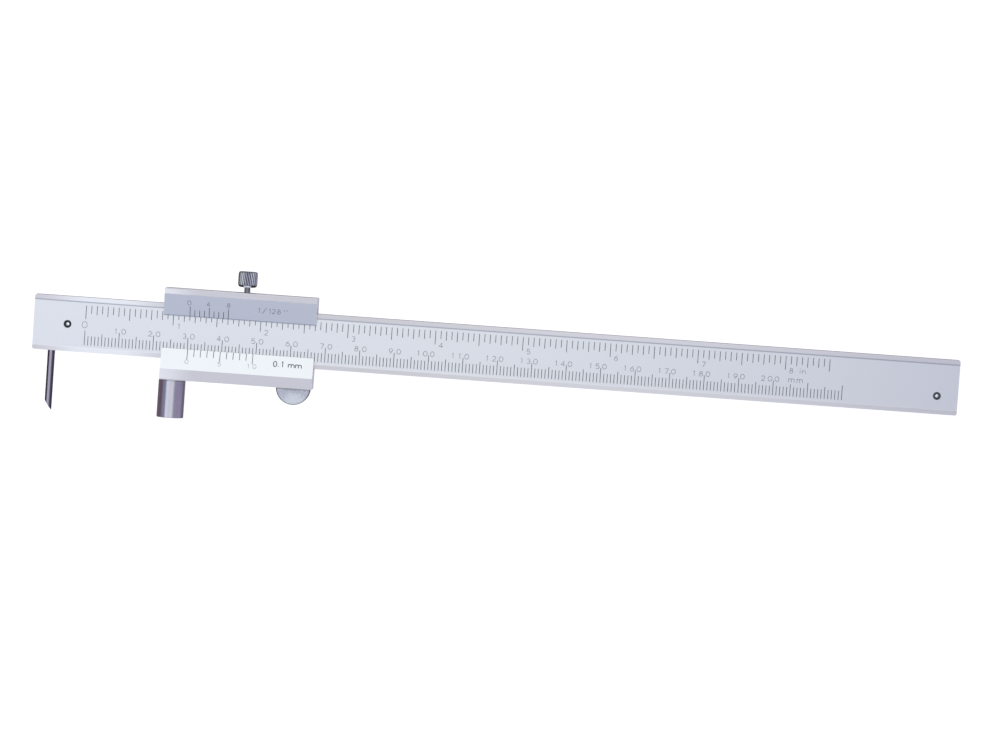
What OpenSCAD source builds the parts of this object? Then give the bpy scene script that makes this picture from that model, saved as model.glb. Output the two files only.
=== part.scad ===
// Vernier marking caliper, 200 mm / 8 in, lying on its back.
// A slider with a guide roller runs along a graduated beam that carries a scriber.
// X runs along the beam, Y across it towards the lock screw, Z up out of the scale face.
// Everything is drawn from the beam's zero line, its middle height and the bench.

/* [Beam] */
// Length of the beam
beam_l = 268.6; // [262:0.1:300]
// Height of the beam from edge to edge
beam_h = 16; // [15:0.5:20]
// Thickness of the beam
beam_t = 3.5; // [3.2:0.1:4.2]
// Width of the ground land along each edge of the front face
land_w = 1.3; // [0.8:0.1:1.8]
// Depth of the satin scale face below the lands
face_drop = 0.12; // [0.05:0.01:0.25]
// Bevel at the four corners of the beam
beam_corner = 0.35; // [0.1:0.05:1]
// Distance from the beam's left end to the zero line
zero_inset = 15.1; // [13.5:0.1:18]

/* [Graduations] */
// Width of a graduation line
line_w = 0.18; // [0.1:0.01:0.2]
// Depth of a graduation line
line_depth = 0.06; // [0.03:0.01:0.1]
// Number of millimetres on the beam
mm_span = 220; // [150:10:220]
// Number of half inches on the beam
half_inch_span = 17; // [10:1:17]
// Distance of the millimetre lines from the beam's lower edge
mm_margin = 2.1; // [1.9:0.1:3]
// Length of a line at each millimetre
mm_line = 2.66; // [2:0.1:3]
// Length of a line at every fifth millimetre
five_mm_line = 3.45; // [3.1:0.1:3.8]
// Length of a line at every tenth millimetre
ten_mm_line = 4.24; // [3.9:0.1:5]
// Distance of the inch lines from the beam's upper edge
inch_margin = 2.34; // [1.9:0.1:3]
// Lengths of the lines at sixteenths, eighths, quarters, halves and whole inches
inch_lines = [2.27, 2.66, 2.9, 3.55, 3.95];
// Length of the numbered vernier lines
vernier_long = 3.1; // [2.5:0.1:3.5]
// Length of the vernier lines between them
vernier_short = 2.1; // [1.5:0.1:2.4]

/* [Slider] */
// Reading that the slider is set to
reading = 30.2; // [1:0.1:205]
// Length of the slider
slider_l = 44.3; // [44:0.1:48]
// Depth of the slider from back to front
slider_d = 8; // [7.6:0.1:10]
// Height of the slider above the beam's upper edge
top_rail = 4.55; // [3.6:0.05:6]
// Height of the slider below the beam's lower edge
bottom_rail = 6; // [5.8:0.05:8]
// Reach of the upper lip down over the scale
upper_lip = 3.4; // [3:0.1:4]
// Reach of the lower lip up over the scale
lower_lip = 3.05; // [2.4:0.05:3.2]
// Height of the flat front strip above the inch bevel
upper_rim = 1.65; // [1:0.05:2]
// Height of the flat front strip below the millimetre bevel
lower_rim = 3.2; // [2:0.1:3.5]
// Thickness of each lip at its thin edge
lip_edge = 0.25; // [0.15:0.05:0.5]
// Bevel along the long outer edges of the slider
slider_edge = 0.25; // [0.1:0.05:0.5]
// Radius of the grinding reliefs in the channel's corners
relief_r = 0.3; // [0.2:0.05:0.4]
// Distance from the slider's left end to the vernier zero
vernier_inset = 7.6; // [7:0.1:9]

/* [Gib] */
// Length of the gib strip
gib_l = 43.5; // [36:0.5:43.5]
// Thickness of the gib strip
gib_t = 1.2; // [1:0.05:1.5]
// Distance of the gib screws from the gib's ends
gib_screw_inset = 7.5; // [5.5:0.5:12]

/* [Lock screw] */
// Distance from the slider's left end to the lock screw
lock_inset = 23.5; // [20:0.1:30]
// Diameter of the lock screw, gib screws and scriber screw
screw_d = 1.9; // [1.6:0.1:2]
// Length of stem that shows under the knurled head
stem_show = 1.65; // [1.5:0.05:4]
// Diameter of the knurled head
knob_d = 5.65; // [4.5:0.05:7]
// Height of the knurled head
knob_h = 4.55; // [3.8:0.05:6]
// Rounding of the knurled head's upper edge
knob_round = 0.6; // [0.3:0.1:0.8]
// Rounding of its lower edge
knob_foot_round = 0.9; // [0.3:0.1:1]
// Number of ridges in the knurl
knurl_count = 22; // [18:1:36]
// Depth of the knurl
knurl_depth = 0.3; // [0.1:0.02:0.32]
// Lean of the knurl's ridges, in degrees
knurl_lean = 18; // [0:1:35]

/* [Roller] */
// Diameter of the guide roller
roller_d = 7.8; // [7.2:0.1:8]
// Length of the guide roller
roller_l = 10.8; // [9:0.1:14]
// Bevel at the roller's ends
roller_edge = 0.1; // [0.1:0.05:0.6]
// Gap between the roller and the scriber at a reading of zero
roller_gap = 0.5; // [0:0.1:0.8]
// Diameter of the axle's shoulder
axle_d = 3.2; // [2.8:0.1:3.4]
// Diameter of the axle's threaded end
axle_thread_d = 2.5; // [2:0.1:2.6]
// Length of the axle's threaded end
axle_thread_l = 4.2; // [3:0.1:4.5]
// Diameter of the axle's head
axle_head_d = 5.3; // [5:0.1:5.4]
// Height of the axle's head
axle_head_h = 1.5; // [1:0.1:2]
// Outer diameter of the bronze bush
bush_d = 5; // [4.8:0.1:5.2]
// Thickness of the washer between roller and slider
washer_t = 0.27; // [0.2:0.01:0.5]

/* [Thumb rest] */
// Diameter of the thumb rest
thumb_d = 10; // [8:0.1:10.5]
// Thickness of the thumb rest
thumb_t = 3; // [2:0.1:3.6]
// Distance of its centre from the slider's right end
thumb_inset = 5.5; // [5.4:0.1:8]
// Height of its centre above the slider's lower edge
thumb_raise = 0.1; // [0:0.05:0.3]
// Bevel round its two faces
thumb_edge = 0.3; // [0.1:0.05:0.5]
// Diameter of the dowel that holds it
dowel_d = 2; // [1.5:0.1:2.2]
// Height of the dowel above its centre
dowel_raise = 2.6; // [2.2:0.1:3]

/* [Scriber] */
// Diameter of the scriber
scriber_d = 2.1; // [1.6:0.1:2.2]
// Distance of the scriber's axis from the beam's left end
scriber_inset = 5.5; // [5.4:0.1:6.5]
// Length of the scriber
scriber_l = 27.5; // [26:0.1:28]
// Reach of its point below the beam's lower edge
scriber_reach = 17.5; // [15:0.1:19]
// Height of the slanting cut that makes its point
point_h = 2.95; // [1.5:0.05:4]
// Distance that it can be drawn back into the beam
draw_back = 3; // [1:0.5:3.5]
// Height of its clamp screw above the beam's lower edge
clamp_raise = 3.4; // [2:0.1:6]

/* [Stops] */
// Diameter of the two stop screws
stop_d = 2.26; // [2:0.02:2.4]
// Distance of the zero stop from the beam's left end
zero_stop_inset = 9.9; // [9:0.1:10.4]
// Distance of the zero stop below the beam's middle
zero_stop_drop = 0.1; // [0:0.1:1]
// Distance of the end stop from the beam's right end
end_stop_inset = 6.1; // [4:0.1:8]
// Distance of the end stop below the beam's middle
end_stop_drop = 2.7; // [0:0.1:3.5]
// Width of the hexagon sockets, across flats
socket_w = 0.9; // [0.7:0.1:0.9]

/* [Fits] */
// Clearance between the beam and the faces that guide it
slide_gap = 0.05; // [0.02:0.01:0.08]
// Clearance round a screw or dowel in its hole
screw_gap = 0.02; // [0.01:0.01:0.05]
// Clearance round the axle and at the roller's ends
spin_gap = 0.03; // [0.02:0.01:0.06]
// Clearance round the scriber in its bore
scriber_gap = 0.03; // [0.01:0.01:0.06]
// Gap between parts that come to rest against each other
touch_gap = 0.02; // [0.01:0.01:0.05]

/* [Hidden] */
$fn = 64;

inch = 25.4;
past = 1;               // how far a cut runs past the face that it opens

// Beam
beam_left = -zero_inset;
beam_right = beam_left + beam_l;
beam_top = beam_h / 2;
beam_low = -beam_h / 2;
beam_back = (slider_d - beam_t) / 2;
beam_front = beam_back + beam_t;
mid_z = slider_d / 2;
scale_z = beam_front - face_drop;

// Slider
slider_top = beam_top + top_rail;
slider_low = beam_low - bottom_rail;
floor_z = beam_back - slide_gap;
lip_z = beam_front + slide_gap;
edge_z = lip_z + lip_edge;
upper_tip = beam_top - upper_lip;
lower_tip = beam_low + lower_lip;
upper_slope = atan((slider_d - edge_z) / (slider_top - upper_rim - upper_tip));
lower_slope = atan((slider_d - edge_z) / (lower_tip - slider_low - lower_rim));
gib_y = beam_top + touch_gap;
channel_top = gib_y + gib_t + slide_gap;
channel_low = beam_low - slide_gap;
channel_h = channel_top - channel_low;

// Scriber and stops
scriber_x = beam_left + scriber_inset;
scriber_bore_l = scriber_l - scriber_reach + draw_back + touch_gap;
zero_stop_x = beam_left + zero_stop_inset;
end_stop_x = beam_right - end_stop_inset;
stop_sink = 0.1;        // how far the stop screws' heads lie below the scale face
screw_sink = 0.3;       // how far the small screws' heads lie below their faces
socket_deep = 1.2;
slot_w = 0.4;
slot_deep = 0.5;

// The back plate starts where it meets the zero stop just before the roller
// meets the scriber.
least_reading = 0.05;
plate_start = zero_stop_x + stop_d / 2 + touch_gap + vernier_inset - least_reading;

// Roller: its left side stands away from the scriber's right side by the reading and the gap.
roller_x = vernier_inset + scriber_x + scriber_d / 2 + roller_gap + roller_d / 2;
roller_top = slider_low - washer_t - spin_gap;
head_room = 0.5;        // depth of the roller's counterbore past the axle's head
counterbore_l = axle_head_h + head_room;
bush_l = roller_l - counterbore_l;
shoulder_l = washer_t + bush_l + 3 * spin_gap;

// Gib: it lies in the middle of the slider, and its screws follow it.
gib_start = (slider_l - gib_l) / 2;
gib_screw_xs = [gib_start + gib_screw_inset, slider_l - gib_start - gib_screw_inset];

// Thumb rest
thumb_x = slider_l - thumb_inset;
thumb_y = slider_low + thumb_raise;
slot_gap = 0.05;        // clearance round the thumb rest in its slot
dowel_top = mid_z + thumb_t / 2 + 1.3;

// Lock screw
tip_y = gib_y + gib_t + touch_gap;
knob_y = slider_top + stem_show;
knob_socket = 3;        // how far the stem runs up into the knob

// The row's origin lies under the middle of the whole caliper, on the bench.
reach_low = min(beam_low - scriber_reach, roller_top - roller_l);
origin = [(beam_left + beam_right) / 2, (knob_y + knob_h + reach_low) / 2, 0];

module in_place() {
    translate(-origin) children();
}

// Moves from the zero line to the left end of the slider
module on_slider() {
    translate([reading - vernier_inset, 0, 0]) children();
}

module rod_x(d, l) {
    rotate([0, 90, 0]) cylinder(d = d, h = l);
}

module rod_y(d, l) {
    rotate([-90, 0, 0]) cylinder(d = d, h = l);
}

// Runs a section drawn in Y and Z along X
module along_x(l) {
    rotate([90, 0, 90]) linear_extrude(l) children();
}

module hexagon_socket() {
    rotate([0, 0, 30]) cylinder(d = socket_w / cos(30), h = socket_deep + past, $fn = 6);
}

// Beam: a flat ground bar with a shallow scale face milled between two lands
module beam_blank() {
    c = beam_corner;
    translate([0, 0, beam_back]) linear_extrude(beam_t) polygon([
        [beam_left + c, beam_low], [beam_right - c, beam_low],
        [beam_right, beam_low + c], [beam_right, beam_top - c],
        [beam_right - c, beam_top], [beam_left + c, beam_top],
        [beam_left, beam_top - c], [beam_left, beam_low + c]]);
}

module scale_face() {
    translate([beam_left - past, beam_low + land_w, scale_z])
        cube([beam_l + 2 * past, beam_h - 2 * land_w, face_drop + past]);
}

// One engraved line of a main scale, with its foot on the given height
module beam_line(x, y, l) {
    translate([x - line_w / 2, y, scale_z - line_depth])
        cube([line_w, l, line_depth + face_drop]);
}

module mm_lines() {
    for (i = [0 : mm_span])
        beam_line(i, beam_low + mm_margin,
            i % 10 == 0 ? ten_mm_line : i % 5 == 0 ? five_mm_line : mm_line);
}

// The rank of a sixteenth is 4 at a whole inch, 3 at a half and 0 at an odd one
function inch_rank(i) = i % 16 == 0 ? 4 : i % 8 == 0 ? 3 : i % 4 == 0 ? 2 : i % 2 == 0 ? 1 : 0;

module inch_lines_cut() {
    for (i = [0 : 8 * half_inch_span]) {
        l = inch_lines[inch_rank(i)];
        beam_line(i * inch / 16, beam_top - inch_margin - l, l);
    }
}

// Blind bore for the scriber, with the cone that a drill leaves
module scriber_bore() {
    d = scriber_d + 2 * scriber_gap;
    translate([scriber_x, beam_low - past, mid_z]) rod_y(d, scriber_bore_l + past);
    translate([scriber_x, beam_low + scriber_bore_l, mid_z])
        rotate([-90, 0, 0]) cylinder(d1 = d, d2 = 0, h = d / 2 * tan(31));
}

module stop_hole(x, y) {
    translate([x, y, beam_back - past]) cylinder(d = stop_d + 2 * screw_gap, h = beam_t + 2 * past);
}

module beam() {
    color("lightsteelblue") difference() {
        beam_blank();
        scale_face();
        mm_lines();
        inch_lines_cut();
        scriber_bore();
        translate([beam_left - past, beam_low + clamp_raise, mid_z])
            rod_x(screw_d + 2 * screw_gap, scriber_inset + past);
        stop_hole(zero_stop_x, -zero_stop_drop);
        stop_hole(end_stop_x, -end_stop_drop);
    }
}

// Scriber: a carbide pin ground to a slant, its point on the roller's side
module scriber() {
    r = scriber_d / 2;
    foot = beam_low - scriber_reach;
    color("dimgray") difference() {
        translate([scriber_x, foot, mid_z]) rod_y(scriber_d, scriber_l);
        translate([scriber_x, foot, mid_z - scriber_d]) linear_extrude(2 * scriber_d)
            polygon([[-r - past, point_h * (1 + past / scriber_d)], [r, 0], [r, -past], [-r - past, -past]]);
    }
}

// Grub screw in the beam's left end, which clamps the scriber
module scriber_screw() {
    l = scriber_inset - scriber_d / 2 - screw_sink - touch_gap;
    color("slategray") translate([beam_left + screw_sink, beam_low + clamp_raise, mid_z]) difference() {
        rod_x(screw_d, l);
        rotate([0, -90, 0]) translate([0, 0, -socket_deep]) hexagon_socket();
    }
}

// Black grub screw whose tail stands out of the beam's back and stops the slider
module stop_screw(x, y) {
    top = scale_z - stop_sink;
    color("dimgray") translate([x, y, 0]) difference() {
        cylinder(d = stop_d, h = top);
        translate([0, 0, top - socket_deep]) hexagon_socket();
    }
}

module zero_stop_screw() stop_screw(zero_stop_x, -zero_stop_drop);

module end_stop_screw() stop_screw(end_stop_x, -end_stop_drop);

// Section of the slider: a back plate, two rails and two bevelled lips
module slider_section() {
    c = slider_edge;
    difference() {
        polygon([
            [slider_low + c, 0], [slider_top - c, 0], [slider_top, c],
            [slider_top, slider_d - c], [slider_top - c, slider_d],
            [slider_top - upper_rim, slider_d], [upper_tip, edge_z], [upper_tip, lip_z],
            [channel_top, lip_z], [channel_top, floor_z],
            [channel_low, floor_z], [channel_low, lip_z],
            [lower_tip, lip_z], [lower_tip, edge_z], [slider_low + lower_rim, slider_d],
            [slider_low + c, slider_d], [slider_low, slider_d - c], [slider_low, c]]);
        for (y = [channel_low, channel_top], z = [floor_z, lip_z])
            translate([y, z]) circle(r = relief_r, $fn = 24);
    }
}

// Lines down one bevel from its thin edge; the numbered ones are longer
module vernier_lines(count, pitch, numbered, slope) {
    for (i = [0 : count])
        translate([vernier_inset + i * pitch - line_w / 2, 0, 0]) rotate([slope, 0, 0])
            translate([0, -line_w, -line_depth])
                cube([line_w, line_w + (i % numbered == 0 ? vernier_long : vernier_short), past]);
}

// Ten divisions cover 19 mm, so each falls a tenth short of two millimetres
module mm_vernier() {
    translate([0, lower_tip, edge_z]) mirror([0, 1, 0]) vernier_lines(10, 19 / 10, 5, lower_slope);
}

// Eight divisions cover seven sixteenths, so each falls 1/128 in short of a sixteenth
module inch_vernier() {
    translate([0, upper_tip, edge_z]) vernier_lines(8, 7 / 16 * inch / 8, 4, upper_slope);
}

// Screw hole down through the upper rail into the channel
module rail_hole(x) {
    translate([x, channel_top - past, mid_z]) rod_y(screw_d + 2 * screw_gap, top_rail + past);
}

module thumb_slot() {
    translate([thumb_x, thumb_y, mid_z - thumb_t / 2 - slot_gap])
        cylinder(d = thumb_d + 2 * slot_gap, h = thumb_t + 2 * slot_gap);
}

module slider_frame() {
    color("silver") on_slider() difference() {
        along_x(slider_l) slider_section();
        translate([-past, channel_low, -past])
            cube([plate_start + past, channel_h, floor_z + 2 * past]);
        mm_vernier();
        inch_vernier();
        rail_hole(lock_inset);
        for (x = gib_screw_xs)
            rail_hole(x);
        translate([roller_x, slider_low - past, mid_z])
            rod_y(axle_thread_d + 2 * screw_gap, axle_thread_l + 2 * touch_gap + past);
        thumb_slot();
        translate([thumb_x, thumb_y + dowel_raise, -past])
            cylinder(d = dowel_d + 2 * screw_gap, h = dowel_top + touch_gap + past);
    }
}

// Cone point shared by a gib screw and, a little larger, by its dimple
module gib_point(grow) {
    rotate([-90, 0, 0]) cylinder(d1 = 0.2 + 2 * grow, d2 = 1.3 + 2 * grow, h = 0.5);
}

dimple_y = gib_y + gib_t - 0.5;

module gib_strip() {
    side_gap = 3 * slide_gap;
    color("peru") on_slider() difference() {
        translate([gib_start, gib_y, floor_z + side_gap])
            cube([gib_l, gib_t, lip_z - floor_z - 2 * side_gap]);
        for (x = gib_screw_xs)
            translate([x, dimple_y, mid_z]) gib_point(touch_gap);
    }
}

// Slotted grub screw whose cone point holds and sets the gib
module gib_screw(x) {
    foot = dimple_y + 2 * touch_gap;
    top = slider_top - screw_sink;
    color("slategray") on_slider() translate([x, 0, mid_z]) difference() {
        union() {
            translate([0, foot, 0]) gib_point(0);
            translate([0, foot + 0.5, 0]) rod_y(screw_d, top - foot - 0.5);
        }
        translate([-screw_d, top - slot_deep, -slot_w / 2]) cube([2 * screw_d, slot_deep + past, slot_w]);
    }
}

module gib_screw_left() gib_screw(gib_screw_xs[0]);

module gib_screw_right() gib_screw(gib_screw_xs[1]);

module lock_screw_stem() {
    color("gray") on_slider() translate([lock_inset, tip_y, mid_z])
        rod_y(screw_d, knob_y + knob_socket - touch_gap - tip_y);
}

// Half section of the knob: rounded edges and a shallow dish underneath
module knob_section() {
    r = knob_d / 2;
    q = knob_round;
    f = knob_foot_round;
    dish = 0.3;
    polygon(concat(
        [[0, dish], [r - f - 2 * dish, dish], [r - f - dish, 0]],
        [for (a = [-90 : 15 : 0]) [r - f + f * cos(a), f + f * sin(a)]],
        [for (a = [0 : 15 : 90]) [r - q + q * cos(a), knob_h - q + q * sin(a)]],
        [[0, knob_h]]));
}

// Ridged bar whose ridges lean as they climb
module knurled_bar() {
    r = knob_d / 2;
    turn = knob_h * tan(knurl_lean) / r * 180 / PI;
    linear_extrude(knob_h, twist = turn, slices = 8)
        polygon([for (i = [0 : 2 * knurl_count - 1])
            (r + touch_gap - (i % 2) * knurl_depth) * [cos(i * 180 / knurl_count), sin(i * 180 / knurl_count)]]);
}

module lock_screw_knob() {
    color("gray") on_slider() translate([lock_inset, knob_y, mid_z]) rotate([-90, 0, 0]) difference() {
        intersection() {
            rotate_extrude() knob_section();
            knurled_bar();
        }
        translate([0, 0, -past]) cylinder(d = screw_d + 2 * screw_gap, h = knob_socket + past);
    }
}

// Hardened roller that runs along the edge of the work
module roller() {
    r = roller_d / 2;
    e = roller_edge;
    color("gray") on_slider() translate([roller_x, roller_top - roller_l, mid_z]) rotate([-90, 0, 0])
        difference() {
            rotate_extrude() polygon([
                [0, 0], [r - e, 0], [r, e], [r, roller_l - e], [r - e, roller_l], [0, roller_l]]);
            translate([0, 0, -past]) cylinder(d = bush_d + 2 * screw_gap, h = roller_l + 2 * past);
            translate([0, 0, -past]) cylinder(d = axle_head_d + 0.4, h = counterbore_l + past);
        }
}

module roller_bush() {
    color("peru") on_slider() translate([roller_x, roller_top - bush_l, mid_z]) difference() {
        rod_y(bush_d, bush_l);
        translate([0, -past, 0]) rod_y(axle_d + 2 * spin_gap, bush_l + 2 * past);
    }
}

// Shoulder screw: head in the roller's counterbore, thread in the slider
module roller_axle() {
    shoulder_y = slider_low - shoulder_l;
    color("slategray") on_slider() translate([roller_x, 0, mid_z]) difference() {
        union() {
            translate([0, shoulder_y - axle_head_h, 0]) rod_y(axle_head_d, axle_head_h);
            translate([0, shoulder_y, 0]) rod_y(axle_d, shoulder_l);
            translate([0, slider_low, 0]) rod_y(axle_thread_d, axle_thread_l);
        }
        translate([-axle_head_d, shoulder_y - axle_head_h - past, -slot_w])
            cube([2 * axle_head_d, past + slot_deep, 2 * slot_w]);
    }
}

module roller_washer() {
    color("silver") on_slider() translate([roller_x, slider_low - washer_t, mid_z]) difference() {
        rod_y(roller_d - 4 * roller_edge, washer_t);
        translate([0, -past, 0]) rod_y(axle_d + 2 * spin_gap, washer_t + 2 * past);
    }
}

// Turned disc, half sunk in a slot of the lower rail, that the thumb pushes
module thumb_rest() {
    r = thumb_d / 2;
    e = thumb_edge;
    color("lightsteelblue") on_slider() translate([thumb_x, thumb_y, mid_z - thumb_t / 2]) difference() {
        rotate_extrude() polygon([
            [0, 0], [r - e, 0], [r, e], [r, thumb_t - e], [r - e, thumb_t], [0, thumb_t]]);
        translate([0, dowel_raise, -past])
            cylinder(d = dowel_d + 2 * screw_gap, h = thumb_t + 2 * past);
    }
}

module thumb_rest_dowel() {
    color("slategray") on_slider() translate([thumb_x, thumb_y + dowel_raise, screw_sink])
        cylinder(d = dowel_d, h = dowel_top - screw_sink);
}

in_place() beam();
in_place() scriber();
in_place() scriber_screw();
in_place() zero_stop_screw();
in_place() end_stop_screw();
in_place() slider_frame();
in_place() gib_strip();
in_place() gib_screw_left();
in_place() gib_screw_right();
in_place() lock_screw_stem();
in_place() lock_screw_knob();
in_place() roller();
in_place() roller_bush();
in_place() roller_axle();
in_place() roller_washer();
in_place() thumb_rest();
in_place() thumb_rest_dowel();
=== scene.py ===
import math

import bpy
import numpy as np
from mathutils import Matrix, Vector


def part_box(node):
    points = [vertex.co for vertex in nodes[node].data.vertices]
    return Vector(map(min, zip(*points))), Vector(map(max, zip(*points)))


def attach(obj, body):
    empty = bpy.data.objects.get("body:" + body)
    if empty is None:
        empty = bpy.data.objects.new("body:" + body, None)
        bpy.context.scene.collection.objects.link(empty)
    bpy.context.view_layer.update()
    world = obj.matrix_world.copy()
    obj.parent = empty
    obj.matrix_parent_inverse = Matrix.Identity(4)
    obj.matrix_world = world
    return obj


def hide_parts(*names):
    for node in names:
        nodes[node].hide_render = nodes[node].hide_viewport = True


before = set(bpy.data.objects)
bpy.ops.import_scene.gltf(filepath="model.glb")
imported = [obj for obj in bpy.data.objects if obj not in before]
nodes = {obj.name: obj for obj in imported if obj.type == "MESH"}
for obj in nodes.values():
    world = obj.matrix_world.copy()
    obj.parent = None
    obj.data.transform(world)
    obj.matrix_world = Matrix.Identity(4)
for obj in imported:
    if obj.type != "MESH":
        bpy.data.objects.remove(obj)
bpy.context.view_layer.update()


# Beam: a ground bar of stainless steel. Its scale face is milled a little below two lands,
# satin chromed and engraved, and the lines are filled with dark ink. Lands and edges stay ground.

MM = 0.001


class Shade:
    """A socket of a material's node tree that can be used in Python sums, which add Math nodes."""

    def __init__(self, tree, output=None):
        self.tree = tree
        self.output = output

    def node(self, kind, settings, inputs, output=0):
        """Adds a node, sets its settings and then its sockets, and gives back one of its outputs.
        The setting called stops is a colour ramp's list of places and colours."""
        added = self.tree.nodes.new(kind)
        for name, value in settings.items():
            if name == "stops":
                ramp = added.color_ramp
                while len(ramp.elements) < len(value):
                    ramp.elements.new(0.5)
                for stop, (place, colour) in zip(ramp.elements, value):
                    stop.position = place
                    stop.color = colour
            else:
                setattr(added, name, value)
        for name, value in inputs.items():
            if isinstance(value, Shade):
                self.tree.links.new(value.output, added.inputs[name])
            else:
                added.inputs[name].default_value = value
        return Shade(self.tree, added.outputs[output] if len(added.outputs) else None)

    def maths(self, operation, *values):
        """One Math node: the operation on up to three sockets or numbers."""
        return self.node("ShaderNodeMath", {"operation": operation}, dict(enumerate(values)))

    def __add__(self, other):
        return self.maths("ADD", self, other)

    __radd__ = __add__

    def __sub__(self, other):
        return self.maths("SUBTRACT", self, other)

    def __rsub__(self, other):
        return self.maths("SUBTRACT", other, self)

    def __mul__(self, other):
        return self.maths("MULTIPLY", self, other)

    __rmul__ = __mul__

    def __truediv__(self, other):
        return self.maths("DIVIDE", self, other)

    def __lt__(self, other):
        return self.maths("LESS_THAN", self, other)

    def __gt__(self, other):
        return self.maths("GREATER_THAN", self, other)

    def __abs__(self):
        return self.maths("ABSOLUTE", self)

    def rise(self, low, high):
        """A smooth step from 0 at low to 1 at high: three times the square of the share of the
        way, less twice its cube. It falls as the value grows where low is above high."""
        return self.node("ShaderNodeMapRange", {"interpolation_type": "SMOOTHSTEP"},
                         {"Value": self, "From Min": low, "From Max": high})

    def mix(self, first, second):
        """The first colour where this mask is 0, the second where it is 1, and between those the
        mean of the two, weighted by the mask."""
        return self.node("ShaderNodeMix", {"data_type": "RGBA"}, {0: self, 6: first, 7: second}, 2)

    def millimetres(self):
        """X, Y and Z of the point on the piece: its Object coordinates divided by MM."""
        place = self.node("ShaderNodeTexCoord", {}, {}, "Object")
        scaled = self.node("ShaderNodeVectorMath", {"operation": "SCALE"},
                           {0: place, "Scale": 1 / MM})
        return [self.node("ShaderNodeSeparateXYZ", {}, {0: scaled}, axis) for axis in "XYZ"]

    def noise(self, x, y, z):
        """Smooth noise from 0 to 1 whose grains are about one unit of x, y and z long."""
        place = self.node("ShaderNodeCombineXYZ", {}, {0: x, 1: y, 2: z})
        return self.node("ShaderNodeTexNoise", {}, {"Vector": place, "Scale": 1.0, "Detail": 2.0})

    def bump(self, height):
        """The normal of a surface that rises by this many millimetres."""
        return self.node("ShaderNodeBump", {}, {"Height": height, "Distance": MM, "Strength": 1.0})


def finish(name):
    """A new material with an empty node tree, as a Shade that knows its material."""
    material = bpy.data.materials.new(name)
    material.use_nodes = True
    material.node_tree.nodes.clear()
    start = Shade(material.node_tree)
    start.material = material
    return start


def metal(start, colour, roughness, normal=None, metallic=1.0):
    """Ends a finish in one surface, which is metal where metallic is 1."""
    inputs = {"Base Color": colour, "Roughness": roughness, "Metallic": metallic}
    if normal is not None:
        inputs["Normal"] = normal
    surface = start.node("ShaderNodeBsdfPrincipled", {}, inputs)
    start.node("ShaderNodeOutputMaterial", {}, {"Surface": surface})


def grey(level, blue=1.0):
    """A steel colour: red is the level, blue is the level times blue, and green lies two fifths
    of the way from red to blue."""
    return (level, level * (1 + (blue - 1) * 0.4), level * blue, 1.0)


def dress(piece, start):
    """Gives every material slot of a piece the material of a finish."""
    if not piece.material_slots:
        piece.data.materials.append(start.material)
    for slot in piece.material_slots:
        slot.material = start.material


def corners_of(node):
    """The lowest and the highest corner of a CAD node, in millimetres."""
    return [np.array(corner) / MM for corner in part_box(node)]


beam_low, beam_high = corners_of("beam")
beam_mid_y = (beam_low[1] + beam_high[1]) / 2
land_w = 1.3
face_drop = 0.12
face_z = beam_high[2] - face_drop
upper_step_y = beam_high[1] - land_w
lower_step_y = beam_low[1] + land_w
step_foot = 0.22
step_crown = 0.16
shadow_w = 0.3
zero_inset = 15.1
zero_x = beam_low[0] + zero_inset
scale_l = 220
scale_margin = 1
below_lines = 0.1  # from the scale face to just under the lines' floors
hair = 0.01  # how far off a face a point may lie and still be on it
satin_chrome = grey(0.66, 0.98)
cloudy_steel = grey(0.58, 1.05)
ground_steel = (0.53, 0.50, 0.50, 1.0)
bright_ground_steel = (0.60, 0.57, 0.565, 1.0)
# Colour of the painted highlight near the left end of the beam's lands.
end_highlight_steel = grey(0.70, 0.97)
edge_steel = grey(0.72, 0.98)
step_shadow = grey(0.40, 1.08)
ink = grey(0.02, 1.1)

beam_steel = finish("satin_chrome_scale")
x, y, z = beam_steel.millimetres()
on_front = z > face_z - below_lines
on_land = on_front * (z > face_z + 2 * hair)
on_scale = on_front * (1 - on_land)
beside_scale = (x > zero_x - scale_margin) * (x < zero_x + scale_l + scale_margin)
in_line = on_front * (z < face_z - hair) * beside_scale
under_land = on_scale * (y > upper_step_y - shadow_w)
upper_step = (y - upper_step_y).rise(-step_foot, step_crown)
lower_step = (lower_step_y - y).rise(-step_foot, step_crown)
grinding = beam_steel.noise(x * 0.12, y * 22, z * 22)
blasting = beam_steel.noise(x * 9, y * 9, z * 9)
cloud = beam_steel.noise(x * 0.05, y * 0.2, z * 0.2)

# The lands grow lighter towards the right, and near the left end they carry a painted highlight.
from_end = x - beam_low[0]
land = from_end.rise(80, 185).mix(ground_steel, bright_ground_steel)
painted_highlight_end = on_land * from_end.rise(0, 16) * from_end.rise(42, 25)
colour = on_front.mix(edge_steel, on_land.mix(satin_chrome, land))
colour = painted_highlight_end.mix(colour, end_highlight_steel)
colour = under_land.mix(colour, step_shadow)
colour = (cloud * 0.12).mix(colour, cloudy_steel)
colour = in_line.mix(colour, ink)
roughness = on_scale * 0.056 + 0.332 + blasting * 0.08
height = (on_front * (upper_step + lower_step) * 0.045 + on_scale * blasting * 0.0015
          + (1 - on_scale) * grinding * 0.003)
metal(beam_steel, colour, roughness, beam_steel.bump(height), 1 - in_line)
dress(nodes["beam"], beam_steel)


# Beam lettering: plain numbers cut along both scales with a round-nosed engraving point and
# filled with the same ink as the lines, so they look thinner and paler than the lines do.

def arc(middle_x, middle_y, half_w, half_h, start, end, count=12):
    """Points on an ellipse from one angle in degrees to another, counted from +X: its middle,
    plus half its width times the cosine and half its height times the sine."""
    angle = np.radians(np.linspace(start, end, count))
    return np.column_stack([middle_x + half_w * np.cos(angle), middle_y + half_h * np.sin(angle)])


def run(*parts):
    """Joins points and stretches of points into one line."""
    return np.vstack([np.atleast_2d(part) for part in parts])


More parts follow.
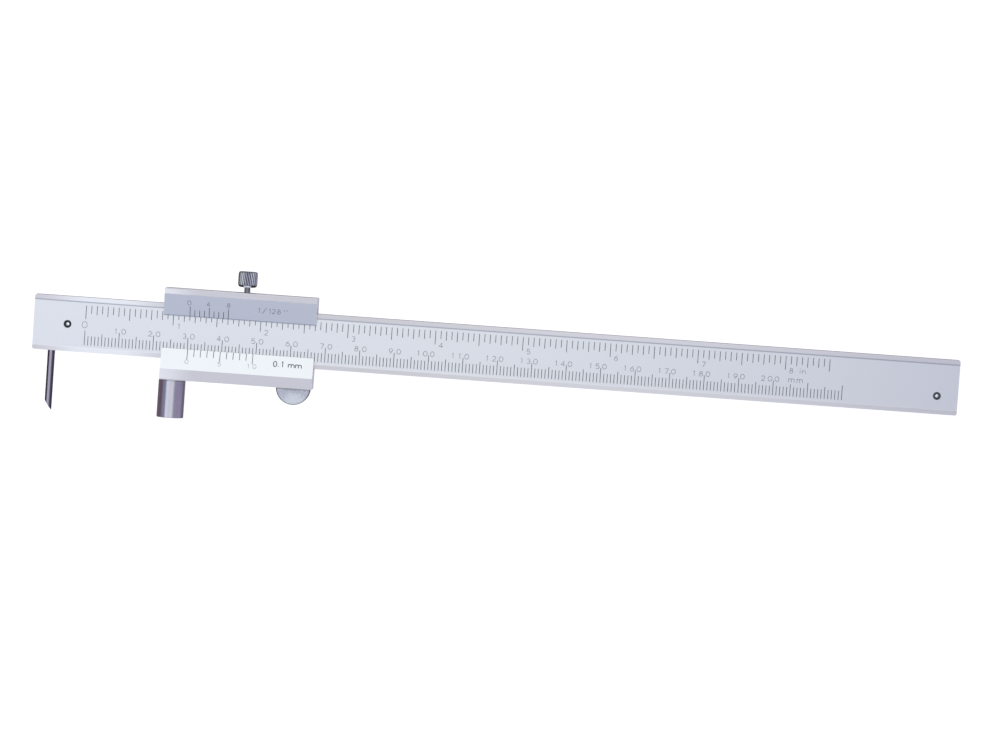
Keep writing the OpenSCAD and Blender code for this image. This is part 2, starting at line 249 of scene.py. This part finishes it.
# Each sign is a few strokes in a box 1 high that is centred on x = 0. A stroke that ends where
# it starts is a closed loop, and no stroke holds one point twice in a row.
SIGNS = {
    "0": [arc(0, 0.5, 0.42, 0.5, 90, 450, 25)],
    "1": [run((-0.16, 0.80), (0.04, 1.0), (0.04, 0.0))],
    "2": [run(arc(0, 0.70, 0.34, 0.30, 170, -35, 10), (-0.36, 0.0), (0.38, 0.0))],
    "3": [arc(-0.02, 0.76, 0.30, 0.24, 150, -90, 9), arc(-0.02, 0.26, 0.36, 0.26, 90, -150, 11)],
    "4": [run((0.40, 0.28), (-0.40, 0.28), (0.16, 1.0), (0.16, 0.0))],
    "5": [run((0.32, 1.0), (-0.28, 1.0), (-0.34, 0.54), arc(0, 0.32, 0.38, 0.32, 128, -150, 13))],
    "6": [run((0.20, 1.0), (-0.20, 0.62), arc(0, 0.32, 0.37, 0.32, 150, 490, 20))],
    "7": [run((-0.38, 1.0), (0.38, 1.0), (-0.10, 0.0))],
    "8": [arc(0, 0.76, 0.29, 0.24, -90, 270, 17), arc(0, 0.26, 0.37, 0.26, 90, 450, 19)],
    "9": [run((-0.20, 0.0), (0.20, 0.38), arc(0, 0.68, 0.37, 0.32, -30, 310, 20))],
    "m": [run((-0.62, 0.0), (-0.62, 0.62)),
          run(arc(-0.31, 0.36, 0.31, 0.26, 170, 0, 8), (0.0, 0.0)),
          run(arc(0.31, 0.36, 0.31, 0.26, 170, 0, 8), (0.62, 0.0))],
    "n": [run((-0.32, 0.0), (-0.32, 0.62)), run(arc(0, 0.34, 0.32, 0.28, 170, 0, 8), (0.32, 0.0))],
    "i": [run((0, 0.0), (0, 0.62)), run((0, 0.86), (0, 1.0))],
    "/": [run((-0.45, -0.14), (0.45, 1.14))],
    ".": [run((0, 0.0), (0, 0.13))],
    "'": [run((-0.14, 0.66), (-0.14, 1.0)), run((0.14, 0.66), (0.14, 1.0))],
}


def ribbon(stroke, width, top, bottom):
    """A flat bar along a stroke: four corners per point, offset half a width to each side along
    the mean normal of the two stretches that meet there, at two heights."""
    closed = np.allclose(stroke[0], stroke[-1])
    path = stroke[:-1] if closed else stroke
    before = np.roll(path, 1, axis=0)
    after = np.roll(path, -1, axis=0)
    if not closed:
        before[0] = 2 * path[0] - path[1]
        after[-1] = 2 * path[-1] - path[-2]
    back = (path - before) / np.linalg.norm(path - before, axis=1, keepdims=True)
    on = (after - path) / np.linalg.norm(after - path, axis=1, keepdims=True)
    mean = back + on
    mean /= np.linalg.norm(mean, axis=1, keepdims=True)
    side = np.column_stack([-mean[:, 1], mean[:, 0]])
    bend = np.maximum(np.sum(mean * back, axis=1, keepdims=True), 0.4)
    reach = side * width / 2 / bend
    count = len(path)
    corners = np.stack([np.column_stack([path + side_step, np.full(count, level)])
                        for side_step, level in ((reach, top), (-reach, top),
                                                 (-reach, bottom), (reach, bottom))], axis=1)
    here = np.arange(count if closed else count - 1)
    there = (here + 1) % count
    faces = [np.column_stack([4 * here + edge, 4 * here + (edge + 1) % 4,
                              4 * there + (edge + 1) % 4, 4 * there + edge])
             for edge in range(4)]
    if not closed:
        last = 4 * (count - 1)
        faces.append(np.array([[3, 2, 1, 0], [last, last + 1, last + 2, last + 3]]))
    return corners.reshape(-1, 3), np.vstack(faces)


def new_piece(name, points, faces, sharp_over=None):
    """An object whose mesh has these points, in millimetres, and these lists of corners, which
    are faces that point outwards. It is flat shaded, or smooth where sharp_over is given, apart
    from edges that turn by more than that many degrees."""
    mesh = bpy.data.meshes.new(name)
    mesh.from_pydata((points * MM).tolist(), [], faces)
    mesh.validate()
    mesh.polygons.foreach_set("use_smooth", np.full(len(mesh.polygons), sharp_over is not None))
    if sharp_over is not None:
        mesh.set_sharp_from_angle(angle=math.radians(sharp_over))
    piece = bpy.data.objects.new(name, mesh)
    bpy.context.scene.collection.objects.link(piece)
    return piece


def engrave(name, words, stroke_w, origin, up):
    """Makes one mesh of many signs. Each word is (text, x, y, height, widen, pitch) on the plane
    that starts at origin and runs along X and up. The ink stands ink_proud above that plane and
    reaches ink_deep below it."""
    axes = np.array([east, up, np.cross(east, up)])
    points = []
    faces = []
    base = 0
    for text, middle, foot, height, widen, pitch in words:
        for place, sign in enumerate(text):
            shift = middle + (place - (len(text) - 1) / 2) * pitch
            for stroke in SIGNS[sign]:
                flat = stroke * (height * widen, height) + (shift, foot)
                corners, quads = ribbon(flat, stroke_w, ink_proud, -ink_deep)
                points.append(origin + corners @ axes)
                faces.append(quads + base)
                base += len(corners)
    return new_piece(name, np.vstack(points), np.vstack(faces).tolist())


def ink_fill(name, dark, pale):
    """Plain ink in engraved lines, worn in spots from a dark grey towards a paler one."""
    filled = finish(name)
    x, y, z = filled.millimetres()
    wear = filled.noise(x * 2, y * 2, z * 2)
    metal(filled, wear.mix(grey(dark, 1.15), grey(pale, 1.15)), 0.5, None, 0.0)
    return filled


east = np.array([1.0, 0.0, 0.0])
north = np.array([0.0, 1.0, 0.0])
inch = 25.4
ink_proud = 0.004
ink_deep = 0.03
number_stroke = 0.13
number_h = 1.42
number_wide = 0.95
mm_foot = -1.925
tens_shift = 0.11
tens_pitch = 2.28
hundreds_shift = -1.0
hundreds_pitch = 2.0
inch_foot = 0.83
inch_shift = 1.75
inch_wide = 0.9

words = [("0", -0.2, -0.9, 1.86, number_wide, 0)]
for ten in range(10, 100, 10):
    words.append((str(ten), ten + tens_shift, mm_foot, number_h, number_wide, tens_pitch))
for ten in range(100, 210, 10):
    words.append((str(ten), ten + hundreds_shift, mm_foot, number_h, number_wide, hundreds_pitch))
words.append(("mm", 206.4, -1.85, 1.75, 0.75, 2.4))
for count in range(1, 9):
    words.append((str(count), count * inch + inch_shift, inch_foot, number_h, inch_wide, 0))
words.append(("in", 208.05, 0.93, 1.4, 1, 1.1))
scale_origin = np.array([zero_x, beam_mid_y, face_z])
beam_numbers = engrave("beam_numbers", words, number_stroke, scale_origin, north)
dress(beam_numbers, ink_fill("number_ink", 0.08, 0.16))
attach(beam_numbers, "beam")


# Scriber: a pin of ground carbide that is set in the beam's lower edge, its end ground to a
# slant. A small grub screw in the beam's left end clamps it.

scriber_low, scriber_high = corners_of("scriber")
scriber_x = (scriber_low[0] + scriber_high[0]) / 2
flank_from = 0.25
flank_to = 0.62
dull_carbide = (0.28, 0.255, 0.29, 1)
clean_carbide = (0.34, 0.31, 0.35, 1)
# Colour of the painted shade on the pin's flanks.
shaded_flank_carbide = (0.12, 0.10, 0.125, 1)

carbide = finish("ground_carbide")
x, y, z = carbide.millimetres()
rings = carbide.noise(x * 3, y * 24, z * 3)
streak = carbide.noise(x * 2.2, y * 0.35, z * 2.2)
# Painted shade: the pin is darker on its flanks than along its front, where its round sides turn
# from the light.
painted_shade_flank = abs(x - scriber_x).rise(flank_from, flank_to)
colour = painted_shade_flank.mix(streak.mix(dull_carbide, clean_carbide), shaded_flank_carbide)
metal(carbide, colour, 0.16 + rings * 0.10, carbide.bump(rings * 0.0012))
dress(nodes["scriber"], carbide)

black_oxide = finish("black_oxide")
x, y, z = black_oxide.millimetres()
mottle = black_oxide.noise(x * 6, y * 6, z * 6)
metal(black_oxide, mottle.mix(grey(0.02, 1.1), grey(0.05, 1.1)), 0.34 + mottle * 0.2,
      black_oxide.bump(mottle * 0.002))
dress(nodes["scriber_screw"], black_oxide)


# Stop screws: two black grub screws, one near each end of the beam, whose tails stand out of its
# back and stop the slider's back plate. The floors of their hexagon sockets are painted bright,
# a painted highlight.

socket_deep = 1.2
# Colour of the painted highlight on the socket floors.
socket_highlight_steel = grey(0.86, 1.03)
for name, film in (("zero_stop_screw", 0.02), ("end_stop_screw", 0.06)):
    socket_floor_z = corners_of(name)[1][2] - socket_deep
    stop_black = finish(name + "_black")
    x, y, z = stop_black.millimetres()
    mottle = stop_black.noise(x * 6, y * 6, z * 6)
    # Painted highlight: the socket floor is bright and smooth.
    painted_highlight_floor = (z < socket_floor_z + 0.3) * (z > socket_floor_z - 0.1)
    colour = painted_highlight_floor.mix(mottle.mix(grey(film, 1.1), grey(film + 0.03, 1.1)), socket_highlight_steel)
    metal(stop_black, colour, 0.36 + mottle * 0.15 - painted_highlight_floor * 0.24, stop_black.bump(mottle * 0.002))
    dress(nodes[name], stop_black)


# Slider: one piece of stainless steel, cut along its length to a section with a channel for the
# beam. Its two bevels are satin chromed and carry the verniers, and its flat faces are ground.

slider_low, slider_high = corners_of("slider_frame")
upper_lip = 3.4
lower_lip = 3.05
upper_rim = 1.65
lower_rim = 3.2
lip_rise = 0.3
lip_edge_z = beam_high[2] + lip_rise
upper_tip_y = beam_high[1] - upper_lip
lower_tip_y = beam_low[1] + lower_lip
upper_rim_y = slider_high[1] - upper_rim
lower_rim_y = slider_low[1] + lower_rim
upper_slope = (slider_high[2] - lip_edge_z) / (upper_rim_y - upper_tip_y)
lower_slope = (slider_high[2] - lip_edge_z) / (lower_tip_y - lower_rim_y)
line_deep = 0.06
bevel_skin = 0.05
line_start = 0.012
dark_tip_w = 0.26
# Length and colour of a painted highlight on the slider's ground faces at its left end.
left_highlight_l = 11
side_steel = grey(0.80, 0.98)
top_steel = (0.50, 0.475, 0.49, 1.0)
lower_top_steel = (0.495, 0.475, 0.49, 1.0)
left_highlight_steel = (0.65, 0.635, 0.64, 1.0)
sawn_steel = grey(0.97, 0.99)

slider_steel = finish("slider_steel")
x, y, z = slider_steel.millimetres()
# Painted highlight: the ground faces are lighter towards the slider's left end.
painted_highlight_left = 1 - (x - slider_low[0]).rise(0, left_highlight_l)
over_upper = z - ((y - upper_tip_y) * upper_slope + lip_edge_z)
over_lower = z - ((lower_tip_y - y) * lower_slope + lip_edge_z)
on_upper = abs(over_upper + line_deep / 2) < bevel_skin
on_upper = on_upper * (y > upper_tip_y + hair) * (y < upper_rim_y + hair)
on_lower = abs(over_lower + line_deep / 2) < bevel_skin
on_lower = on_lower * (y < lower_tip_y - hair) * (y > lower_rim_y - hair)
on_bevel = on_upper + on_lower
in_line = on_upper * (over_upper < -line_start) + on_lower * (over_lower < -line_start)
on_top = z > slider_high[2] - 2 * hair
on_lower_top = on_top * (y < beam_mid_y)
on_end = (x < slider_low[0] + 2 * hair) + (x > slider_high[0] - 2 * hair)
at_tip = (y < upper_tip_y + dark_tip_w) * (y > beam_mid_y) * (z > lip_edge_z - 2 * hair)
grinding = slider_steel.noise(x * 0.14, y * 20, z * 20)
blasting = slider_steel.noise(x * 9, y * 9, z * 9)
cloud = slider_steel.noise(x * 0.08, y * 0.3, z * 0.3)
colour = on_top.mix(side_steel, top_steel)
colour = on_lower_top.mix(colour, lower_top_steel)
colour = (painted_highlight_left * on_top).mix(colour, left_highlight_steel)
colour = on_bevel.mix(colour, satin_chrome)
colour = on_end.mix(colour, sawn_steel)
colour = (cloud * 0.15).mix(colour, cloudy_steel)
colour = at_tip.mix(colour, step_shadow)
colour = in_line.mix(colour, ink)
roughness = (on_bevel * (0.30 + blasting * 0.1) + on_top * (0.24 + grinding * 0.16)
             + (1 - on_bevel - on_top) * 0.55 + on_end * 0.35)
height = on_bevel * blasting * 0.0015 + (1 - on_bevel) * grinding * 0.005
metal(slider_steel, colour, roughness, slider_steel.bump(height), 1 - in_line)
dress(nodes["slider_frame"], slider_steel)


# Vernier lettering: inked numbers on both bevels, and the verniers' values, 1/128 inch and
# 0.1 mm, the second of which is printed bolder.

def along_bevel(slope):
    """The unit vector up the drawing on a bevel: one millimetre of Y and the slope in Z, divided
    by the length of the two together."""
    up = np.array([0.0, 1.0, slope])
    return up / np.linalg.norm(up)


vernier_inset = 7.6
vernier_zero_x = slider_low[0] + vernier_inset
vernier_stroke = 0.12
inch_tick = 7 / 16 * inch / 8
upper_foot = 3.55
upper_h = 1.3
inch_value_foot = 2.72
inch_value_h = 1.4
upper_words = [("0", -0.3, upper_foot, upper_h, 0.9, 0),
               ("4", 4 * inch_tick - 0.3, upper_foot, upper_h, 0.9, 0),
               ("8", 8 * inch_tick, upper_foot, upper_h, 0.9, 0)]
for sign, at, widen in (("1", 20.05, 0.9), ("/", 21.52, 1.0), ("1", 23.15, 0.9),
                        ("2", 24.25, 0.85), ("8", 25.75, 0.9), ("'", 27.7, 1.9)):
    upper_words.append((sign, at, inch_value_foot, inch_value_h, widen, 0))
upper_origin = np.array([vernier_zero_x, upper_tip_y, lip_edge_z])
upper_up = along_bevel(upper_slope)
inch_vernier_numbers = engrave("inch_vernier_numbers", upper_words, vernier_stroke,
                               upper_origin, upper_up)

mm_tick = 1.9
lower_foot = -4.3
lower_h = 1.2
mm_value_foot = -3.25
mm_value_h = 1.6
bold_stroke = 0.26
lower_words = [("0", 0, lower_foot, lower_h, 0.95, 0),
               ("5", 5 * mm_tick, lower_foot, lower_h, 0.9, 0),
               ("1", 10 * mm_tick - 1.05, lower_foot, lower_h, 0.9, 0),
               ("0", 10 * mm_tick + 0.75, lower_foot, lower_h, 0.95, 0)]
value_words = [(sign, at, mm_value_foot, mm_value_h, widen, 0)
               for sign, at, widen in (("0", 25.65, 0.72), (".", 26.65, 1), ("1", 27.8, 0.8),
                                       ("m", 30.35, 0.86), ("m", 32.45, 0.86))]
lower_origin = np.array([vernier_zero_x, lower_tip_y, lip_edge_z])
lower_up = along_bevel(-lower_slope)
mm_vernier_numbers = engrave("mm_vernier_numbers", lower_words, vernier_stroke,
                             lower_origin, lower_up)
mm_value_print = engrave("mm_value_print", value_words, bold_stroke, lower_origin, lower_up)

value_ink = ink_fill("value_ink", 0.05, 0.10)
faint_ink = ink_fill("faint_ink", 0.20, 0.30)
for piece, its_ink in ((inch_vernier_numbers, value_ink), (mm_vernier_numbers, faint_ink),
                       (mm_value_print, value_ink)):
    dress(piece, its_ink)
    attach(piece, "slider")


# Gib: a bronze strip between the beam's upper edge and the slider's upper rail, held and set by
# two slotted grub screws with cone points.

dark_bronze = (0.55, 0.34, 0.15, 1)
light_bronze = (0.68, 0.46, 0.22, 1)
bronze = finish("plain_bronze")
x, y, z = bronze.millimetres()
drawn = bronze.noise(x * 0.3, y * 14, z * 14)
metal(bronze, drawn.mix(dark_bronze, light_bronze), 0.3 + drawn * 0.15,
      bronze.bump(drawn * 0.003))
dress(nodes["gib_strip"], bronze)

plain_screw = finish("plain_screw_steel")
x, y, z = plain_screw.millimetres()
turned = plain_screw.noise(x * 4, y * 16, z * 4)
metal(plain_screw, turned.mix(grey(0.42, 1.04), grey(0.55, 1.04)), 0.25 + turned * 0.15,
      plain_screw.bump(turned * 0.002))
for name in ("gib_screw_left", "gib_screw_right"):
    dress(nodes[name], plain_screw)


# Lock screw: a threaded stem with a knurled head pressed onto it. Turning it presses its tip on
# the gib, which clamps the slider to the beam.

def revolve(profile, turns, grooves, lean, drops):
    """Points and faces of a closed surface round the Y axis. The profile is (radius, height) from
    pole to pole. Each radius is lessened by the profile's drop there times a triangle wave, which
    is 1 in a groove and 0 on a crest and turns by lean radians with each unit of height."""
    angle = np.linspace(0, 2 * np.pi, turns, endpoint=False)
    radius, height = profile[:, 0:1], profile[:, 1:2]
    phase = (angle + lean * height) * grooves / (2 * np.pi) % 1
    shaped = radius - drops[:, None] * np.abs(phase * 2 - 1)
    grid = np.stack([shaped * np.cos(angle), np.broadcast_to(height, shaped.shape),
                     shaped * np.sin(angle)], axis=-1)
    poles = [[0, profile[0, 1], 0], [0, profile[-1, 1], 0]]
    low_pole = len(profile) * turns
    high_pole = low_pole + 1
    index = np.arange(low_pole).reshape(-1, turns)
    beside = np.roll(index, -1, axis=1)
    quads = np.stack([index[:-1], index[1:], beside[1:], beside[:-1]], axis=-1).reshape(-1, 4)
    low_fan = np.column_stack([np.full(turns, low_pole), index[0], beside[0]])
    high_fan = np.column_stack([np.full(turns, high_pole), beside[-1], index[-1]])
    points = np.vstack([grid.reshape(-1, 3), poles])
    return points, quads.tolist() + low_fan.tolist() + high_fan.tolist()


knob_low, knob_high = corners_of("lock_screw_knob")
stem_low, stem_high = corners_of("lock_screw_stem")
lock_x = (knob_low[0] + knob_high[0]) / 2
lock_z = (knob_low[2] + knob_high[2]) / 2
knob_r = (knob_high[0] - knob_low[0]) / 2
knob_h = knob_high[1] - knob_low[1]
knob_round = 0.6
knob_foot_round = 0.9
hollow_deep = 0.3
hollow_r = knob_r - 1.5
foot_r = knob_r - 1.2
knob_turns = 240
side_rings = 25
ridges = 22
ridge_deep = 0.32
ridge_lean = -math.tan(math.radians(18)) / knob_r
stem_r = (stem_high[0] - stem_low[0]) / 2
stem_l = stem_high[1] - stem_low[1]
press_gap = 0.02
socket_r = stem_r + press_gap
socket_top = stem_high[1] + press_gap - knob_low[1]
thread_pitch = 0.4
thread_deep = 0.16
thread_fade = 0.3
thread_r = stem_r - 0.01
stem_turns = 40
sharp_edge = 38
# Colours of the painted shade in the grooves, on the left side and on the foot, and of the painted
# highlight at the foot's middle. The crest colour is plain steel.
groove_shade_steel = grey(0.14, 1.05)
crest_steel = grey(0.66, 1.02)
left_shade_steel = grey(0.09, 1.05)
foot_shade_steel = grey(0.02, 1.1)
foot_highlight_steel = grey(0.98, 0.99)

foot_arc = arc(knob_r - knob_foot_round, knob_foot_round, knob_foot_round, knob_foot_round,
               -90, 0, 7)
crown_arc = arc(knob_r - knob_round, knob_h - knob_round, knob_round, knob_round, 0, 90, 7)
knob_side = np.linspace(foot_arc[-1], crown_arc[0], side_rings)[1:-1]
knob_profile = run((0.02, socket_top), (socket_r, socket_top), (socket_r, hollow_deep),
                   (hollow_r, hollow_deep), (foot_r, 0.0), foot_arc, knob_side, crown_arc,
                   (knob_r * 0.5, knob_h), (0.3, knob_h - 0.02))
ridge_drops = np.where(knob_profile[:, 0] > knob_r - knob_round * 0.75, ridge_deep, 0.0)
knob_points, knob_faces = revolve(knob_profile, knob_turns, ridges, ridge_lean, ridge_drops)
knurled_knob = new_piece("knurled_knob", knob_points + (lock_x, knob_low[1], lock_z), knob_faces,
                         sharp_edge)

# The knurl's grooves, the head's left side and its foot are darkened with painted shade, and the
# middle of its foot carries a painted highlight.
knurl_steel = finish("knurled_steel")
x, y, z = knurl_steel.millimetres()
out_x = x - lock_x
out_z = z - lock_z
from_axis = knurl_steel.maths("SQRT", out_x * out_x + out_z * out_z)
crest = from_axis.rise(knob_r - ridge_deep, knob_r)
grime = knurl_steel.noise(x * 5, y * 5, z * 5)
above_foot = y - knob_low[1]
on_cap = above_foot > knob_h - 0.04
left_side_shade = (-1 * out_x).rise(knob_r * 0.30, knob_r * 0.95)
foot_shade = above_foot.rise(0.75, 0.45)
foot_highlight = above_foot.rise(0.60, 0.45) * abs(out_x - 0.1).rise(1.15, 0.85)
colour = (crest + on_cap).mix(groove_shade_steel, crest_steel)
colour = (left_side_shade * 0.8).mix(colour, left_shade_steel)
colour = (foot_shade * 0.9).mix(colour, foot_shade_steel)
colour = foot_highlight.mix(colour, foot_highlight_steel)
metal(knurl_steel, colour, 0.24 + grime * 0.16 + foot_highlight * 0.4, knurl_steel.bump(grime * 0.003))
dress(knurled_knob, knurl_steel)
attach(knurled_knob, "lock_knob")
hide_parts("lock_screw_knob")

stem_heights = np.arange(0, stem_l, thread_pitch / 8)
fade = np.clip(np.minimum(stem_heights, stem_l - stem_heights) / thread_fade, 0, 1)
stem_profile = np.column_stack([np.full(len(stem_heights), thread_r), stem_heights])
stem_profile[-1, 1] = stem_l
stem_points, stem_faces = revolve(stem_profile, stem_turns, 1, -2 * np.pi / thread_pitch,
                                  thread_deep * fade)
threaded_stem = new_piece("threaded_stem", stem_points + (lock_x, stem_low[1], lock_z),
                          stem_faces, sharp_edge)
dress(threaded_stem, plain_screw)
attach(threaded_stem, "lock_stem")
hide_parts("lock_screw_stem")


# Guide roller: hardened and ground steel on a bronze bush, which turns on a shoulder screw.
# A thin washer keeps it off the slider.

dull_roller = (0.44, 0.425, 0.45, 1)
clean_roller = (0.50, 0.48, 0.51, 1)
roller_steel = finish("ground_roller")
x, y, z = roller_steel.millimetres()
rings = roller_steel.noise(x * 0.8, y * 26, z * 0.8)
smear = roller_steel.noise(x * 0.9, y * 0.5, z * 0.9)
metal(roller_steel, smear.mix(dull_roller, clean_roller), 0.14 + rings * 0.08,
      roller_steel.bump(rings * 0.0012))
dress(nodes["roller"], roller_steel)
dress(nodes["roller_bush"], bronze)
dress(nodes["roller_axle"], plain_screw)
dress(nodes["roller_washer"], plain_screw)


# Thumb rest: a turned disc, half sunk in a slot of the slider's lower rail and held by a dowel.
# The lathe tool leaves fine rings on its face, which catch the light in two wedges.

thumb_low, thumb_high = corners_of("thumb_rest")
thumb_x = (thumb_low[0] + thumb_high[0]) / 2
thumb_y = (thumb_low[1] + thumb_high[1]) / 2
thumb_r = (thumb_high[0] - thumb_low[0]) / 2
ring_pitch = 0.16
dark_rim_w = 0.25
slot_shadow_w = 0.7

turned_steel = finish("turned_steel")
x, y, z = turned_steel.millimetres()
out_x = x - thumb_x
out_y = y - thumb_y
from_axis = turned_steel.maths("SQRT", out_x * out_x + out_y * out_y)
tool_rings = turned_steel.maths("SINE", from_axis * (2 * math.pi / ring_pitch))
uneven = turned_steel.noise(from_axis * 9, z * 9, 0.0)
on_rim = from_axis > thumb_r - dark_rim_w
in_slot = (slider_low[1] - y).rise(slot_shadow_w, 0.0)
colour = uneven.mix(grey(0.52, 1.01), grey(0.61, 1.01))
colour = on_rim.mix(colour, grey(0.34, 1.03))
colour = in_slot.mix(colour, grey(0.20, 1.08))
metal(turned_steel, colour, 0.16 + uneven * 0.08,
      turned_steel.bump(tool_rings * 0.013 + uneven * 0.004))
dress(nodes["thumb_rest"], turned_steel)
dress(nodes["thumb_rest_dowel"], plain_screw)


# Floor: a plain white table top that the caliper lies on. It is matt and glows by itself, so that
# it stays white where the soft box's light is weak.

def flat_sheet(name, half_l, half_w, height, turn):
    """A level rectangle round the Z axis: its four corners at plus and minus half its length and
    width. It faces up where turn is 1. Where turn is -1, the signs of X and Y change places, so
    that the corners run the other way round and it faces down."""
    signs = np.array([[-1, -1], [1, -1], [1, 1], [-1, 1]])[:, ::turn]
    points = np.column_stack([signs * (half_l, half_w), np.full(4, height)])
    return new_piece(name, points, [(0, 1, 2, 3)])


floor_half = 3000
floor_z = -0.02
floor = flat_sheet("table_top", floor_half, floor_half, floor_z, 1)
floor.visible_glossy = False
white_table = finish("white_table")
surface = white_table.node("ShaderNodeBsdfPrincipled", {}, {
    "Base Color": (0.35, 0.35, 0.35, 1), "Roughness": 1.0, "Specular IOR Level": 0.0,
    "Emission Color": (1, 1, 1, 1), "Emission Strength": 0.88})
white_table.node("ShaderNodeOutputMaterial", {}, {"Surface": surface})
dress(floor, white_table)


# Light: a wide soft box hangs over the caliper. It is brightest behind the caliper and bluish over
# its left end, and it fades past its right end. The room is dim, with a pale front and back.

def blend_along(part, low, high, stops):
    """Light that runs through coloured stops as a value goes from low to high: each stop stands
    at its share of the way."""
    shares = [((place - low) / (high - low), (*colour, 1)) for place, *colour in stops]
    return part.node("ShaderNodeValToRGB", {"stops": shares}, {0: (part - low) / (high - low)})


box_height = 600
box_half_l = 1100
box_half_w = 900
soft_box = flat_sheet("soft_box", box_half_l, box_half_w, box_height, -1)
soft_box.visible_camera = False
soft_box.visible_shadow = False
box_glow = finish("soft_box_glow")
box_x, box_y = box_glow.millimetres()[:2]
along = blend_along(box_x, -box_half_l, box_half_l, [
    (-680, 0.42, 0.43, 0.58), (-520, 1.30, 1.40, 1.62), (-260, 1.21, 1.27, 1.41),
    (-160, 1.14, 1.19, 1.25), (20, 1.23, 1.28, 1.34), (150, 1.045, 1.16, 1.245),
    (200, 0.84, 0.91, 1.03), (290, 0.52, 0.50, 0.69), (1100, 0.52, 0.48, 0.68)])
across = blend_along(box_y, -box_half_w, box_half_w, [
    (-600, 0.47, 0.50, 0.63), (-320, 0.57, 0.60, 0.71), (-100, 1.00, 1.00, 1.02),
    (120, 1.06, 1.06, 1.07), (300, 1.30, 1.31, 1.27), (430, 1.30, 1.31, 1.27),
    (560, 1.00, 1.01, 1.02), (900, 0.85, 0.86, 0.88)])
light = box_glow.node("ShaderNodeMix", {"data_type": "RGBA", "blend_type": "MULTIPLY",
                                        "clamp_result": False}, {0: 1.0, 6: along, 7: across}, 2)
glow = box_glow.node("ShaderNodeEmission", {}, {"Color": light, "Strength": 1.0})
box_glow.node("ShaderNodeOutputMaterial", {}, {"Surface": glow})
dress(soft_box, box_glow)

world = bpy.data.worlds.new("dim_room")
bpy.context.scene.world = world
world.use_nodes = True
world.node_tree.nodes.clear()
room = Shade(world.node_tree)
toward = room.node("ShaderNodeTexCoord", {}, {}, "Generated")
east_part, north_part, up_part = (room.node("ShaderNodeSeparateXYZ", {}, {0: toward}, axis)
                                  for axis in "XYZ")
degrees = room.maths("ARCTAN2", east_part, up_part) * (180 / math.pi)
dim = blend_along(degrees, -180, 180, [
    (-180, 0.25, 0.21, 0.26), (-84, 0.25, 0.18, 0.24), (-70, 0.36, 0.37, 0.50),
    (-40, 0.43, 0.46, 0.60), (40, 0.53, 0.49, 0.70), (100, 0.52, 0.48, 0.70),
    (124, 0.27, 0.25, 0.34), (180, 0.25, 0.21, 0.26)])
front_or_back = abs(north_part).rise(0.45, 0.8)
pale = up_part.rise(-0.05, 0.05).mix((0.55, 0.55, 0.58, 1), (1.05, 1.07, 1.12, 1))
glow = room.node("ShaderNodeBackground", {}, {"Color": front_or_back.mix(dim, pale),
                                              "Strength": 1.0})
backdrop = room.node("ShaderNodeBackground", {}, {"Color": (0.93, 0.935, 0.94, 1),
                                                  "Strength": 1.0})
seen = room.node("ShaderNodeLightPath", {}, {}, "Is Camera Ray")
both = room.node("ShaderNodeMixShader", {}, {0: seen, 1: glow, 2: backdrop})
room.node("ShaderNodeOutputWorld", {}, {"Surface": both})
bpy.context.scene.view_settings.view_transform = "Standard"


# Camera: one metre above the caliper, tilted and turned as in the photograph, where the beam
# falls a little to the right.

camera_distance = 1000
target = np.array([1.6465, -0.5, 4.0])
tilt, yaw, roll = np.radians([3.2, 0.8771, 4.1029])
focal_share = 3.44747
nearest = 10
toward_camera = np.array([math.sin(yaw) * math.cos(tilt), math.sin(tilt),
                          math.cos(yaw) * math.cos(tilt)])
level = np.cross(-toward_camera, north)
level /= np.linalg.norm(level)
upright = np.cross(toward_camera, level)
right = math.cos(roll) * level + math.sin(roll) * upright
upward = -math.sin(roll) * level + math.cos(roll) * upright
lens = bpy.data.cameras.new("camera")
lens.sensor_width = 36
lens.lens = focal_share * lens.sensor_width
lens.clip_start = nearest * MM
camera = bpy.data.objects.new("camera", lens)
bpy.context.scene.collection.objects.link(camera)
placement = np.eye(4)
placement[:3, :3] = np.column_stack([right, upward, toward_camera])
placement[:3, 3] = (target + camera_distance * toward_camera) * MM
camera.matrix_world = Matrix(placement.tolist())
bpy.context.scene.camera = camera
